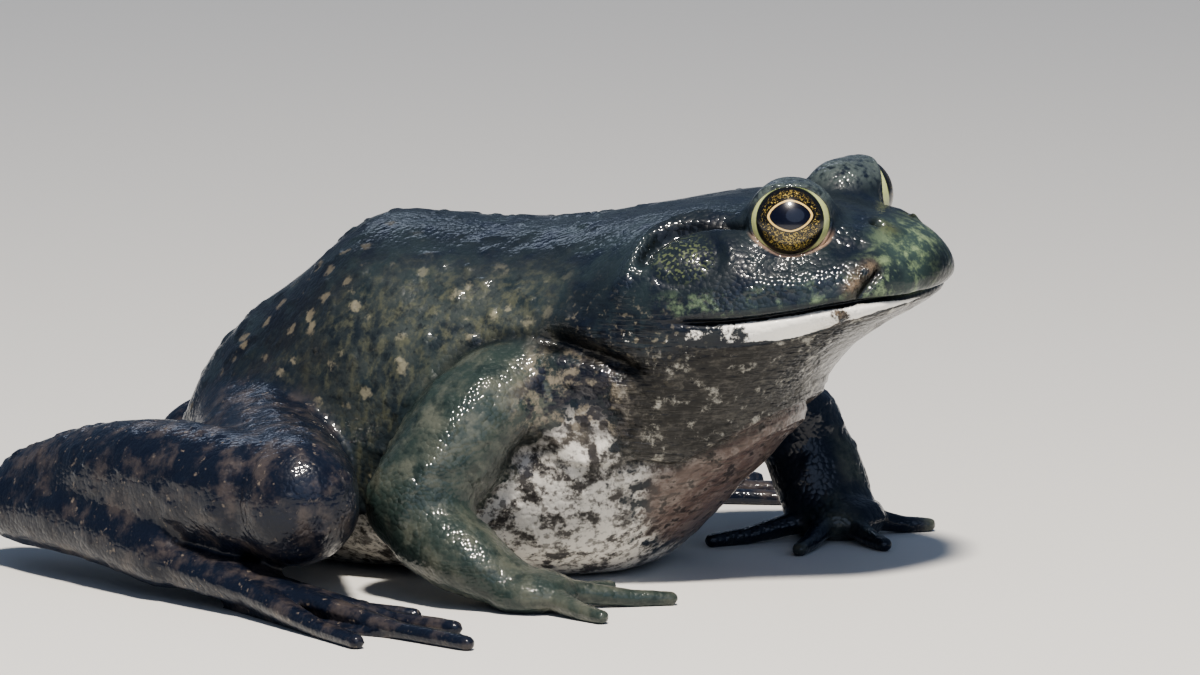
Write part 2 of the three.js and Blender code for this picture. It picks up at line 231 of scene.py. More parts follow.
flesh = []
for name in sorted(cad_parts):
    copy = bpy.data.objects.new("flesh_" + name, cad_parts[name].data.copy())
    scene.collection.objects.link(copy)
    copy.data.materials.clear()
    select_only(copy)
    bpy.ops.object.mode_set(mode="EDIT")
    bpy.ops.mesh.select_all(action="SELECT")
    bpy.ops.mesh.remove_doubles(threshold=MERGE)
    bpy.ops.object.mode_set(mode="OBJECT")
    flesh.append((name, copy))

part_names = [name for name, _ in flesh]
corners, faces, owners = [], [], []
for index, (name, copy) in enumerate(flesh):
    first = len(corners)
    corners += [v.co.copy() for v in copy.data.vertices]
    faces += [[first + i for i in p.vertices] for p in copy.data.polygons]
    owners += [index] * len(copy.data.polygons)
solid_tree = BVHTree.FromPolygons(corners, faces)
owners = np.array(owners)

for name, copy in flesh:
    select_only(copy)
    apply_modifier(copy, "DISPLACE", mid_level=0, strength=SWELL)
print("flesh copies:", len(flesh), "with", len(faces), "triangles")

# %% Join and wrap
skin = flesh[0][1]
select_only(*[copy for _, copy in flesh])
bpy.ops.object.join()
skin.name = "skin"
select_only(skin)
apply_modifier(skin, "REMESH", mode="VOXEL", voxel_size=VOXEL)
print("skin after wrapping:", len(skin.data.vertices), "vertices")

# %% [markdown]
# ## Reading and moving the vertices
# Folds and lids are shaped by moving vertices in code, as a sculptor's brushes would. These
# helpers read the vertices in millimetres, average over neighbours, and tell which solid each
# vertex came from, so that a toe can be treated more gently than the back.

# %% Helpers for the vertices
def read_places(thing):
    """Places in mm and outward normals of all the vertices."""
    mesh = thing.data
    count = len(mesh.vertices)
    places = np.empty(count * 3, np.float32)
    normals = np.empty(count * 3, np.float32)
    mesh.vertices.foreach_get("co", places)
    mesh.vertex_normals.foreach_get("vector", normals)
    return places.reshape(-1, 3).astype(float) / MM, normals.reshape(-1, 3).astype(float)


def write_places(thing, places):
    """Puts the vertices at these places in mm."""
    thing.data.vertices.foreach_set("co", (places * MM).astype(np.float32).ravel())
    thing.data.update()


def read_links(thing):
    """Both ends of each edge, each way round, and how many neighbours each vertex has."""
    mesh = thing.data
    ends = np.empty(len(mesh.edges) * 2, np.int32)
    mesh.edges.foreach_get("vertices", ends)
    ends = ends.reshape(-1, 2)
    here = np.concatenate([ends[:, 0], ends[:, 1]])
    there = np.concatenate([ends[:, 1], ends[:, 0]])
    number = np.bincount(here, minlength=len(mesh.vertices))
    return here, there, np.maximum(number, 1)


def neighbour_mean(values, links):
    """Mean of what each vertex's neighbours hold, for one number or several a vertex."""
    here, there, number = links
    columns = values.reshape(len(number), -1).T
    means = [np.bincount(here, weights=c[there], minlength=len(number)) / number for c in columns]
    return np.stack(means, axis=1).reshape(values.shape)


def find_parts(places):
    """Number of the solid that each place lies nearest to."""
    found = [solid_tree.find_nearest(Vector(p) * MM)[2] for p in places.tolist()]
    return owners[np.array(found)]


def share_of(parts, names, links, rounds):
    """1 on the named solids, 0 elsewhere, and blended over the seams."""
    wanted = [part_names.index(name) for name in names]
    share = np.isin(parts, wanted).astype(float)
    for _ in range(rounds):
        share = neighbour_mean(share, links)
    return share


def rise(value, start, end):
    """0 before start, 1 after end, and a smooth rise between."""
    t = np.clip((value - start) / (end - start), 0, 1)
    return t * t * (3 - 2 * t)


def far_from(places, middle, squeeze=1):
    """Distance of each place from a middle, with each axis scaled by squeeze."""
    return np.linalg.norm((places - middle) * squeeze, axis=1)


def bump_of(distance, width):
    """A round bump: 1 at distance 0, and nearly 0 beyond twice the width."""
    return np.exp(-((distance / width) ** 2))


print("a bump's height at once and twice its width:", np.round(bump_of(np.array([1, 2]), 1), 2))

# %% Paths over the skin
FAR = 1000.0
NEAR_PATH = 9.0
PATH_STEP = 1.5


def along_path(places, path):
    """Distance from each place to a path of straight lengths, and how far along it that is."""
    path = np.array(path, float)
    lengths = far_from(path[1:], path[:-1])
    before = np.concatenate([[0], np.cumsum(lengths)])
    nearest = np.full(len(places), FAR)
    position = np.zeros(len(places))
    inside = (places > path.min(axis=0) - NEAR_PATH) & (places < path.max(axis=0) + NEAR_PATH)
    close = np.flatnonzero(inside.all(axis=1))
    spots = places[close]
    for i, length in enumerate(lengths):
        way = (path[i + 1] - path[i]) / length
        t = np.clip((spots - path[i]) @ way, 0, length)
        gap = far_from(spots - path[i], t[:, None] * way)
        closer = gap < nearest[close]
        nearest[close[closer]] = gap[closer]
        position[close[closer]] = (before[i] + t[closer]) / before[-1]
    return nearest, position


def lay_on_skin(path):
    """The path cut into short steps, with each step set on the nearest point of the skin."""
    tree = BVHTree.FromObject(skin, bpy.context.evaluated_depsgraph_get())
    laid = []
    for start, end in zip(path, path[1:]):
        start, end = Vector(start) * MM, Vector(end) * MM
        steps = max(1, round((end - start).length / MM / PATH_STEP))
        laid += [start.lerp(end, i / steps) for i in range(steps)]
    laid.append(Vector(path[-1]) * MM)
    return [tuple(tree.find_nearest(spot)[0] / MM) for spot in laid]


print("paths are cut into steps of", PATH_STEP, "mm")

# %% Smooth the facets away
SIDES = ("left", "right")
DIGIT_PARTS = [f"{limb}_{side}" for limb in ("hand", "foot") for side in SIDES]
LIMB_PARTS = [f"{limb}_{side}" for side in SIDES
              for limb in ("upper_arm", "forearm", "thigh", "shank", "tarsus")]
HEAD_PARTS = ["head", "lower_jaw", *EYES]
BODY_ROUNDS = 130
LIMB_SHARE = 0.55
HEAD_SHARE = 0.4
DIGIT_SHARE = 0.03
STEP_SHARE = 0.5

places, normals = read_places(skin)
links = read_links(skin)
parts = find_parts(places)
digits = share_of(parts, DIGIT_PARTS, links, 6)
limbs = share_of(parts, LIMB_PARTS, links, 8)
head = share_of(parts, HEAD_PARTS, links, 20)
strength = 1 + (LIMB_SHARE - 1) * limbs + (HEAD_SHARE - 1) * head + (DIGIT_SHARE - 1) * digits
strength = np.clip(strength, DIGIT_SHARE, 1)
for step in range(BODY_ROUNDS):
    moving = np.clip(strength * BODY_ROUNDS - step, 0, 1) * STEP_SHARE
    places += (neighbour_mean(places, links) - places) * moving[:, None]
write_places(skin, places)
print("smoothed, mean strength", round(float(strength.mean()), 2))

# %% [markdown]
# ## Finer mesh where the detail is
# Lids, lips and nostrils have edges finer than the voxels. Their faces are split in four before
# any shaping, so that the same brushes draw them crisply. The rest of the frog doesn't need it.

# %% Places on the head
# The right side mirrors the left, so places are given for the left alone, in mm. The gaze
# differs a little from side to side, as it does in a living frog.
EYE_AT = np.array([75.8, 14.8, 62.2])
EYE_RADIUS = 7.0
EYE_LOOKS = {1: np.array([0.62, 0.77, 0.16]), -1: np.array([0.34, -0.92, 0.17])}
NOSTRIL = np.array([88.3, 6.7, 61.4])
MOUTH = [(59, 46.2), (63, 46.6), (68, 46.8), (74, 47.4), (80, 48.3), (85, 49.3), (89, 49.9),
         (92, 50), (96, 49.4), (104, 49)]
MOUTH_BACK = 59


def mouth_height(x):
    """Height of the slit of the mouth at a distance forward."""
    return np.interp(x, *zip(*MOUTH))


def on_left(places):
    """The places with the right half turned over to the left."""
    return np.stack([places[:, 0], np.abs(places[:, 1]), places[:, 2]], axis=1)


def split_faces(thing, wanted):
    """Splits in four the faces that wanted() picks by their middle, in mm."""
    select_only(thing)
    bpy.ops.object.mode_set(mode="EDIT")
    bpy.ops.mesh.select_mode(type="FACE")
    bpy.ops.mesh.select_all(action="DESELECT")
    bpy.ops.object.mode_set(mode="OBJECT")
    middles = np.empty(len(thing.data.polygons) * 3, np.float32)
    thing.data.polygons.foreach_get("center", middles)
    picked = wanted(on_left(middles.reshape(-1, 3).astype(float) / MM))
    thing.data.polygons.foreach_set("select", picked)
    bpy.ops.object.mode_set(mode="EDIT")
    bpy.ops.mesh.subdivide(number_cuts=1)
    bpy.ops.object.mode_set(mode="OBJECT")
    return int(picked.sum())


FINE_LIDS = EYE_RADIUS * 1.45
BEHIND_BALL = -3
FINE_LIPS = 2.2
FINE_NOSTRIL = 3.6


def near_fine_detail(middles):
    """True by the lids, the lips and the nostrils."""
    x, y, z = middles.T
    lids = far_from(middles, EYE_AT) < FINE_LIDS
    outside = (middles - EYE_AT) @ EYE_LOOKS[1] > BEHIND_BALL
    lips = (np.abs(z - mouth_height(x)) < FINE_LIPS) & (x > MOUTH_BACK - 2) & (y > 0)
    nostrils = far_from(middles, NOSTRIL) < FINE_NOSTRIL
    return (lids & outside) | lips | nostrils


print("faces split:", split_faces(skin, near_fine_detail))

# %% [markdown]
# ## Shaping the head
# A bullfrog's head is read from a few forms: lids that stand up round the ball of the eye, the
# fold that leaves the eye and turns down behind the eardrum, the sunk eardrum with its rim,
# nostrils behind low mounds, and a long mouth whose upper lip overhangs the lower one. They
# could be sculpted by hand. Here each is a height along the normal, which depends on the
# distance from a point, a line or an oval, so that its place and size can be read and changed.
# This frog has an old wound on its right upper lip: a notch, and a brown scab beside it.

# %% Lids
# How far the opening reaches forward, back, up and down in the plane of the lids, in mm, and
# how far the rim, its crest and the groove round it stand out or in.
LID_FRONT = 6.75
LID_BACK = 6.4
LID_TOP = 5.5
LID_FOOT = 5.8
EYE_TILT = 0.1
LID_RIM = 0.3
LID_GROOVE = 0.3
LID_CREST = 0.3
LID_SINK = 1.1
LID_OPEN = {1: 0.93, -1: 1.0}
LID_REACH = EYE_RADIUS * 1.6
# Angles from the line of sight, over that of the lids' edge: where the sunk socket ends, the
# rim starts, the rim is at its highest, it meets the skin, and the skin keeps its own shape.
SOCKET_STARTS, SOCKET_ENDS, RIM_STARTS = 0.94, 1.0, 1.03
RIM_TOP, RIM_ENDS, SKIN_KEPT = 1.13, 1.3, 1.65
WIDEST_OPENING = 0.985
CREST_WIDTH, GROOVE_WIDTH = 0.1, 0.06
CREST_LOW, CREST_HIGH = 0.2, 1.6
EVENED_AT, EVENED_WIDTH, EVENED_SHARE, EVENED_ROUNDS = 1.6, 0.28, 0.6, 14


def eye_axes(side):
    """Ways forward, up and out of the eye on one side."""
    out = EYE_LOOKS[side] / np.linalg.norm(EYE_LOOKS[side])
    ahead = np.array([1, 0, EYE_TILT])
    ahead = ahead - out * (ahead @ out)
    ahead = ahead / np.linalg.norm(ahead)
    up = np.cross(out, ahead)
    return ahead, up if up[2] > 0 else -up, out


def lid_opening(forward, upward):
    """Angle from the line of sight to the lids' edge, in a way that is forward and upward."""
    wide = np.where(forward > 0, LID_FRONT, LID_BACK)
    high = np.where(upward > 0, LID_TOP, LID_FOOT)
    edge = 1 / np.hypot(forward / wide, upward / high)
    return np.arcsin(np.clip(edge / EYE_RADIUS, 0, WIDEST_OPENING))


def lid_measure(places, side):
    """Distance from the middle of the eye, angle over that of the lids' edge, and upness."""
    ahead, up, out = eye_axes(side)
    off = places - EYE_AT * (1, side, 1)
    forward, upward, outward = off @ ahead, off @ up, off @ out
    level = np.hypot(forward, upward) + 1e-9
    opening = lid_opening(forward / level, upward / level) * LID_OPEN[side]
    return np.linalg.norm(off, axis=1), np.arctan2(level, outward) / opening, upward / level


for side in LID_OPEN:
    print("line of sight, side", side, [round(float(c), 2) for c in eye_axes(side)[2]])

# %% Shape of the lids
def shape_lids(places):
    """Sinks the skin behind the eyeball, and raises a rim and a brow round it."""
    for side in (1, -1):
        reach, q, upness = lid_measure(places, side)
        near = (reach < LID_REACH) & (q < SKIN_KEPT) & (places[:, 1] * side > 0)
        brow = rise(upness, 0.0, 0.9)
        crest = CREST_LOW + (CREST_HIGH - CREST_LOW) * brow
        rim = EYE_RADIUS + LID_RIM + LID_CREST * bump_of(q - RIM_TOP, CREST_WIDTH) * crest
        groove = LID_GROOVE * bump_of(q - RIM_ENDS, GROOVE_WIDTH) * (1 - brow)
        outer = np.maximum(reach, rim) - groove
        shaped = rim + (outer - rim) * rise(q, RIM_STARTS, RIM_ENDS)
        shaped = shaped + (reach - shaped) * rise(q, RIM_ENDS, SKIN_KEPT)
        inner = 1 - rise(q, SOCKET_STARTS, SOCKET_ENDS)
        shaped = shaped * (1 - inner) + (EYE_RADIUS - LID_SINK) * inner
        middle = EYE_AT * (1, side, 1)
        scale = np.where(near, shaped / np.maximum(reach, 1e-6), 1)
        places = middle + (places - middle) * scale[:, None]
    return places


def smooth_round_lids(places, links):
    """Evens out the skin just outside the lids."""
    for _ in range(EVENED_ROUNDS):
        give = np.zeros(len(places))
        for side in (1, -1):
            reach, q, _ = lid_measure(places, side)
            near = (reach < EYE_RADIUS * 2) & (places[:, 1] * side > 0)
            give += bump_of(q - EVENED_AT, EVENED_WIDTH) * near
        places = places + (neighbour_mean(places, links) - places) * give[:, None] * EVENED_SHARE
    return places


print("the rim stands", LID_RIM, "to", round(LID_RIM + CREST_HIGH * LID_CREST, 2), "mm off the ball")

# %% Folds, eardrum, nostrils and mouth
# Lines are lists of points, in mm. No living head is quite even: what is called far belongs to
# the left side alone, and what is called near, the notch and the scab, to the right.
FOLD_RIDGE = [(69.5, 16.2, 64.2), (65.5, 15.8, 64), (60.5, 16, 63.4), (56, 18.4, 62.4),
              (53.4, 21.2, 60.6), (52.5, 25, 58), (52, 27.5, 54.5), (51.2, 28.6, 51), (49.5, 29, 48.5)]
FOLD_GROOVE = [(70.2, 19.6, 61.4), (66, 18.8, 61.4), (61.7, 19.6, 61.4), (58, 20.6, 60.6),
               (55.6, 22.6, 59.2), (54.2, 25.4, 57), (53.8, 27, 54.4)]
DRUM_AT = (61.2, 56.4)
DRUM_SIZE = (6.5, 4.5)
LIP_RIDGE = [(62, 28.3, 49.2), (69, 27.1, 50.6), (74.5, 25.2, 52.2), (80.5, 22.9, 53.4), (88, 18.9, 54.7)]
CANTHUS = [(83, 14.2, 60.4), (86.2, 11.4, 61), (89, 8.6, 61.4)]
LORE = [(82.8, 18.4, 57.8), (86.5, 15.8, 58.3), (90, 12.4, 58.8)]
NOSTRIL_MOUND = np.array([90.1, 6.7, 60.8])
NOSTRIL_SLIT = [(87.6, 7.8, 60.2), (88.3, 6.7, 61.4), (89.6, 5.9, 61.9), (91.2, 5.4, 61.8)]
JAW_CORNER = np.array([52, 27, 43.5])
BEHIND_EYE = np.array([68.6, 11, 66.4])
FAR_TEMPLE = [(54, 18.5, 62), (59, 17, 63.4), (63, 16, 64.2)]
FAR_DOME = np.array([71, 13.2, 68])
NEAR_BROW = np.array([74.5, -11, 68.7])
UNDER_LID = [(71, 24, 57.4), (75, 22.4, 57), (79, 20.4, 57.2), (82.6, 18, 58.6)]
CHEEK_FURROW = [(72.5, 25, 55), (77, 23.3, 55.3), (80, 21.8, 55.6), (83, 20.3, 56.1), (87.5, 16.4, 57.6)]
SNOUT_TIP = np.array([99, 0, 57])
SNOUT_SIDE = np.array([95.5, 9.5, 56])
SNOUT_SHOULDER = np.array([91.5, 8.5, 60])
CHIN = np.array([90.5, 3, 44.6])
UPPER_LIP_TIP = np.array([97.6, 7.5, 52.8])
NOTCH = [(91.6, -15.9, 54.6), (90.9, -17.8, 52.9), (90, -19.5, 51)]
SCAB = [(90.6, -16.4, 55.6), (89.3, -18.4, 54), (88.3, -20, 52.3)]


def fade_ends(position, share):
    """1 along a path, falling to 0 over a share of it at each end."""
    return rise(position, 0, share) * (1 - rise(position, 1 - share, 1))


def lines_height(places, lines):
    """Sum of ridges and grooves along lines laid on the skin, mirrored where the line says so."""
    left = on_left(places)
    height = np.zeros(len(places))
    for path, mirrored, tall, wide, faded in lines:
        away, t = along_path(left if mirrored else places, lay_on_skin(path))
        height += tall * bump_of(away, wide) * fade_ends(t, faded)
    return height


def drum_measure(left):
    """0 in the middle of the eardrum and 1 at its edge, seen from the side."""
    off = (left[:, [0, 2]] - DRUM_AT) / DRUM_SIZE
    return np.hypot(off[:, 0], off[:, 1])


print("eardrum:", 2 * DRUM_SIZE[0], "by", 2 * DRUM_SIZE[1], "mm")

# %% Lines and spots of the head
HEAD_LINES = [  # path, mirrored or not, height, half width, share faded at each end
    (FOLD_RIDGE, True, 1.1, 1.6, 0.16),
    (FOLD_GROOVE, True, -1.7, 0.85, 0.08),
    (NOSTRIL_SLIT, True, -0.8, 0.6, 0.2),
    (LORE, True, -0.9, 1.6, 0.3),
    (LIP_RIDGE, True, 0.6, 2.8, 0.2),
    (UNDER_LID, True, 0.3, 0.9, 0.25),
    (CHEEK_FURROW, True, -0.6, 1.8, 0.25),
    (FAR_TEMPLE, False, -1.3, 2.6, 0.3),
]
HEAD_SPOTS = [  # middle, mirrored or not, squeeze of the axes, height, half width
    (NOSTRIL, True, 1, -2.0, 0.9),
    (NOSTRIL_MOUND, True, 1, 0.5, 1.7),
    (JAW_CORNER, True, 1, 1.0, 6.5),
    (BEHIND_EYE, True, 1, -1.5, 2.8),
    (SNOUT_TIP, True, (1, 0.5, 1), -0.6, 5),
    (SNOUT_SIDE, True, 1, -0.8, 4),
    (SNOUT_SHOULDER, True, 1, -0.5, 4),
    (UPPER_LIP_TIP, True, 1, -0.5, 2.8),
    (CHIN, True, (0.6, 0.6, 1), -1.2, 4),
    (FAR_DOME, False, 1, -1.3, 2.8),
    (NEAR_BROW, False, 1, 0.5, 3),
]
HEAD_BEGINS = 40


def head_heights(places):
    """How far each place of the head moves out along its normal, in mm."""
    left = on_left(places)
    x, y, z = left.T
    height = lines_height(places, HEAD_LINES)
    for middle, mirrored, squeeze, tall, wide in HEAD_SPOTS:
        away = far_from(left if mirrored else places, middle, squeeze)
        height += tall * bump_of(away, wide)
    # The rim round the nostril, and the ridge from the eye to it.
    height += 0.4 * bump_of(far_from(left, NOSTRIL) - 1.5, 1.0)
    away, t = along_path(left, CANTHUS)
    height += 0.4 * bump_of(away, 1.3) * fade_ends(t, 0.2)
    # The eardrum: a groove round it, a rim outside the groove, and a dish with a raised middle.
    flank = rise(y, 15, 20)
    e = drum_measure(left)
    upper = 0.2 + 0.8 * rise(z, DRUM_AT[1] - 2, DRUM_AT[1] + 2)
    height -= 0.6 * bump_of(e - 0.93, 0.15) * flank * upper
    height += 0.25 * bump_of(e - 1.22, 0.16) * flank * upper
    height -= 0.3 * (1 - rise(e, 0.8, 1.0)) * (1 - bump_of(e, 0.5)) * flank
    # The mouth: the upper lip, the lower lip, the tip of the lower jaw drawn back, and the slit.
    slit = z - mouth_height(x)
    front = rise(x, MOUTH_BACK, MOUTH_BACK + 9)
    height += front * 0.6 * bump_of(slit - 1.5, 1.3) * (1 - rise(x, 84, 92))
    height += front * 0.35 * bump_of(slit + 2.0, 1.4)
    height -= 1.2 * rise(x, 88, 96) * (1 - rise(slit, -1, 4)) * rise(slit, -7, -2)
    height -= rise(x, MOUTH_BACK - 1, MOUTH_BACK + 7) * 1.3 * bump_of(slit + 0.1, 0.5)
    # The wound stays above the slit.
    for path, tall, wide in ((NOTCH, -0.8, 0.6), (SCAB, 0.3, 0.9)):
        away, t = along_path(places, lay_on_skin(path))
        height += tall * bump_of(away, wide) * (slit > 0)
    return height * (x > HEAD_BEGINS)


print("simple forms:", len(HEAD_LINES), "lines and", len(HEAD_SPOTS), "spots")

# %% Shape the head
places, normals = read_places(skin)
links = read_links(skin)
head_height = head_heights(places)
places = places + normals * head_height[:, None]
places = shape_lids(places)
places = smooth_round_lids(places, links)
write_places(skin, places)
print("head forms from", round(head_height.min(), 2), "to", round(head_height.max(), 2), "mm")

# %% [markdown]
# ## Shaping the body
# Below the head the skin is loose. It folds deeply where the shoulder meets the jaw, pleats at
# the lower edge of the throat, opens a small hollow behind the arm, and lies in low lumps and
# wrinkles over the flanks and limbs. The folds follow paths, and the lumps come from a smooth
# random field, so that no two places are alike. A soft stop at the snout and the crown keeps
# the skin inside the box of the solids without a flat.

# %% Random lumps
LUMP_GRID = 32
lump_values = np.random.default_rng(7).uniform(-1, 1, (LUMP_GRID,) * 3)


def lumps(places, size, shift=0.0):
    """A smooth random field from about -1 to 1, with lumps of these sizes in mm along x, y, z."""
    grid = places / np.array(size) + shift
    cell = np.floor(grid).astype(int)
    t = grid - cell
    t = t * t * (3 - 2 * t)
    total = np.zeros(len(places))
    for corner in np.ndindex(2, 2, 2):
        weight = np.prod(np.where(np.array(corner), t, 1 - t), axis=1)
        i, j, k = ((cell + corner) % LUMP_GRID).T
        total += weight * lump_values[i, j, k]
    return total


print("random field:", lump_values.shape, "values, mean", round(float(lump_values.mean()), 3))

# %% Body folds
SHOULDER_CREASE = [(18, -34, 31.5), (20.4, -31.4, 36.8), (23.3, -29.8, 40), (28.1, -28.4, 42.3),
                   (33.2, -27.8, 43.1), (38, -28, 42.7)]
JAW_CREASE = [(34, 28, 43), (38, 28.3, 42.8), (44.3, 29.1, 41.1), (49.6, 29.2, 39.3),
              (56.8, 28.6, 36.9)]
POUCH_CREASE = [(37, 30.5, 24.3), (44, 28.4, 23.3), (53, 24.6, 21.7), (58.5, 20.5, 20.8),
                (64.7, 17.4, 24.4), (69.8, 11.5, 27.6), (72.4, 4.9, 29), (72.8, 0, 29.2)]
ARM_HOLLOW = np.array([36.2, 31.4, 23.2])
HOLLOW_SQUEEZE = (0.75, 1, 1)
ARM_RIDGE = [(31.9, -32.6, 39), (28.5, -38.5, 34.2), (26.9, -41.3, 30.7), (25.4, -44.4, 24.9),
             (22, -47.2, 19.8), (16.4, -47.7, 15.4)]
PLEAT_GAP = 1.9
BODY_LINES = [  # path, mirrored or not, height, half width, share faded at each end
    (JAW_CREASE, True, -2.4, 1.7, 0.25),
    (SHOULDER_CREASE, False, -0.9, 1.3, 0.3),
    (ARM_RIDGE, False, 0.5, 1.7, 0.2),
]
print("creases of the body have", len(SHOULDER_CREASE + JAW_CREASE + POUCH_CREASE), "points")

# %% Shape the body
SOFT_STOP = 1.5


def body_heights(places, digits, limbs, head):
    """How far each place of the body moves out along its normal, in mm."""
    left = on_left(places)
    x, y, z = left.T
    height = lines_height(places, BODY_LINES)

    # The crease behind the jaw has a soft fold along each side.
    away, t = along_path(left, lay_on_skin(JAW_CREASE))
    height += 0.5 * bump_of(away - 4, 2) * fade_ends(t, 0.3)

    # The lower edge of the throat, with fine pleats above it, and the hollow behind the arm.
    away, t = along_path(left, lay_on_skin(POUCH_CREASE))
    ends = rise(t, 0, 0.12)
    height -= 0.9 * bump_of(away, 0.9) * ends
    height += 0.8 * bump_of(away - 3, 2.2) * ends * (z > 22)
    pleats = 0.5 + 0.5 * np.cos(2 * np.pi * away / PLEAT_GAP)
    height -= 0.3 * pleats * bump_of(away - 3.5, 2.6) * rise(t, 0.4, 0.6)
    height -= 2.6 * bump_of(far_from(left, ARM_HOLLOW, HOLLOW_SQUEEZE), 3.0)

    # Lumps of two sizes, upright wrinkles on the flank, and warts that fade toward the belly.
    loose = 1 - digits
    height += 0.3 * lumps(places, (11, 11, 11)) * loose * (1 - 0.6 * head)
    height += 0.16 * lumps(places, (4.2, 4.2, 4.2), 5.3) * loose * (1 - 0.5 * head)
    flank = rise(y, 16, 24) * rise(z, 14, 22) * (1 - limbs) * (1 - rise(x, 38, 46))
    height += 0.28 * lumps(places, (3.2, 6, 9), 2.7) * flank
    warts = rise(lumps(places, (2.1, 2.1, 2.1), 9.1), 0.25, 0.75)
    height += 0.3 * warts * loose * (1 - 0.85 * head) * (0.35 + 0.65 * rise(z, 8, 16))
    return height


places, normals = read_places(skin)
parts = find_parts(places)
digits = share_of(parts, DIGIT_PARTS, links, 6)
limbs = share_of(parts, LIMB_PARTS, links, 10)
head = share_of(parts, HEAD_PARTS, links, 25)
body_height = body_heights(places, digits, limbs, head)
places = places + normals * body_height[:, None]
low, high = (np.array(corner) / MM for corner in cad_box)
for axis in (0, 2):
    over = np.maximum(places[:, axis] - (high[axis] - SOFT_STOP), 0)
    places[:, axis] -= over - SOFT_STOP * np.tanh(over / SOFT_STOP)
places = np.clip(places, low, high)
write_places(skin, places)
print("body forms from", round(body_height.min(), 2), "to", round(body_height.max(), 2), "mm")

# %% [markdown]
# ## Fewer triangles, where they don't show
# The wrapped skin has far more triangles than a model needs. The Decimate modifier joins the
# ones that lie most nearly flat. A vertex group keeps it off the head in the first pass, and
# off the rest in the second, so that the head stays the finest part.

# %% Decimate
BODY_TRIANGLES = 95_000
HEAD_TRIANGLES = 100_000
HEAD_STARTS = 47
HEAD_FLOOR = 36
HEAD_GROUP = "head"

select_only(skin)
bpy.ops.object.mode_set(mode="EDIT")
bpy.ops.mesh.select_all(action="SELECT")
bpy.ops.mesh.quads_convert_to_tris()
bpy.ops.object.mode_set(mode="OBJECT")
places, _ = read_places(skin)
on_head = (places[:, 0] > HEAD_STARTS) & (places[:, 2] > HEAD_FLOOR)
skin.vertex_groups.new(name=HEAD_GROUP)
skin.vertex_groups[HEAD_GROUP].add(np.flatnonzero(on_head).tolist(), 1.0, "REPLACE")
corner_sets = np.empty(len(skin.data.polygons) * 3, np.int32)
skin.data.polygons.foreach_get("vertices", corner_sets)
head_start = int(on_head[corner_sets.reshape(-1, 3)].all(axis=1).sum())
passes = [  # part to thin, vertex group inverted or not, triangles to leave in all
    ("body", True, head_start + BODY_TRIANGLES),
    ("head", False, HEAD_TRIANGLES + BODY_TRIANGLES),
]
# The modifier weighs errors in the units of the mesh, and in metres they would be too small to
# tell apart. So the mesh is blown up a thousand times, thinned, and brought back.
for name, inverted, goal in passes:
    write_places(skin, read_places(skin)[0] / MM)
    apply_modifier(skin, "DECIMATE", ratio=min(1, goal / len(skin.data.polygons)),
                   vertex_group=HEAD_GROUP, invert_vertex_group=inverted)
    write_places(skin, read_places(skin)[0] * MM)
    print("after thinning the", name, len(skin.data.polygons), "triangles")
skin.vertex_groups.clear()
write_places(skin, np.clip(read_places(skin)[0], low, high))
skin.data.shade_smooth()

# %% [markdown]
# ## Where each colour lies
# A bullfrog's markings follow its parts: a dark back, spotted flanks, blotched legs, a green
# snout, a white lower lip, a mottled throat and a pale belly. Each of these zones is kept as a
# number from 0 to 1 on every vertex, called an attribute, and the material reads it by name.
# The zones only say where. The spots themselves come from noise in the material. Two zones
# steer the gloss instead: "granular" makes the grains taller along ridges and brows, and "film"
# says how thick the water lies, thick on the ridges and thin on the flat cheek.
# Some zones mark painted shade instead: creases, the slit, the notch, the snout's tip, the far arm, the
# chest blush.

# %% Edges of the zones
BELLY_EDGE = [(-38, 12), (-20, 9), (0, 8), (20, 11), (30, 17), (37, 27), (46, 31), (56, 31),
              (64, 33), (72, 37), (85, 42), (100, 46)]
LIP_DEPTH = [(60, 3.5), (70, 4.2), (78, 4.4), (84, 3.8), (89, 2.8), (92, 1.9), (94.5, 0.9), (96, 0.1)]

places, _ = read_places(skin)
links = read_links(skin)
parts = find_parts(places)
left = on_left(places)
x, y, z = left.T
slit = z - mouth_height(x)
lip_depth = np.interp(x, *zip(*LIP_DEPTH))
pouch_height = np.interp(x, [p[0] for p in POUCH_CREASE], [p[2] for p in POUCH_CREASE])
print("the white lip is up to", max(depth for _, depth in LIP_DEPTH), "mm deep")

# %% Zones of the markings
def limb_share(*limb_names):
    """Share of these limbs of both sides, blended over their seams."""
    return share_of(parts, [f"{name}_{side}" for name in limb_names for side in SIDES], links, 7)


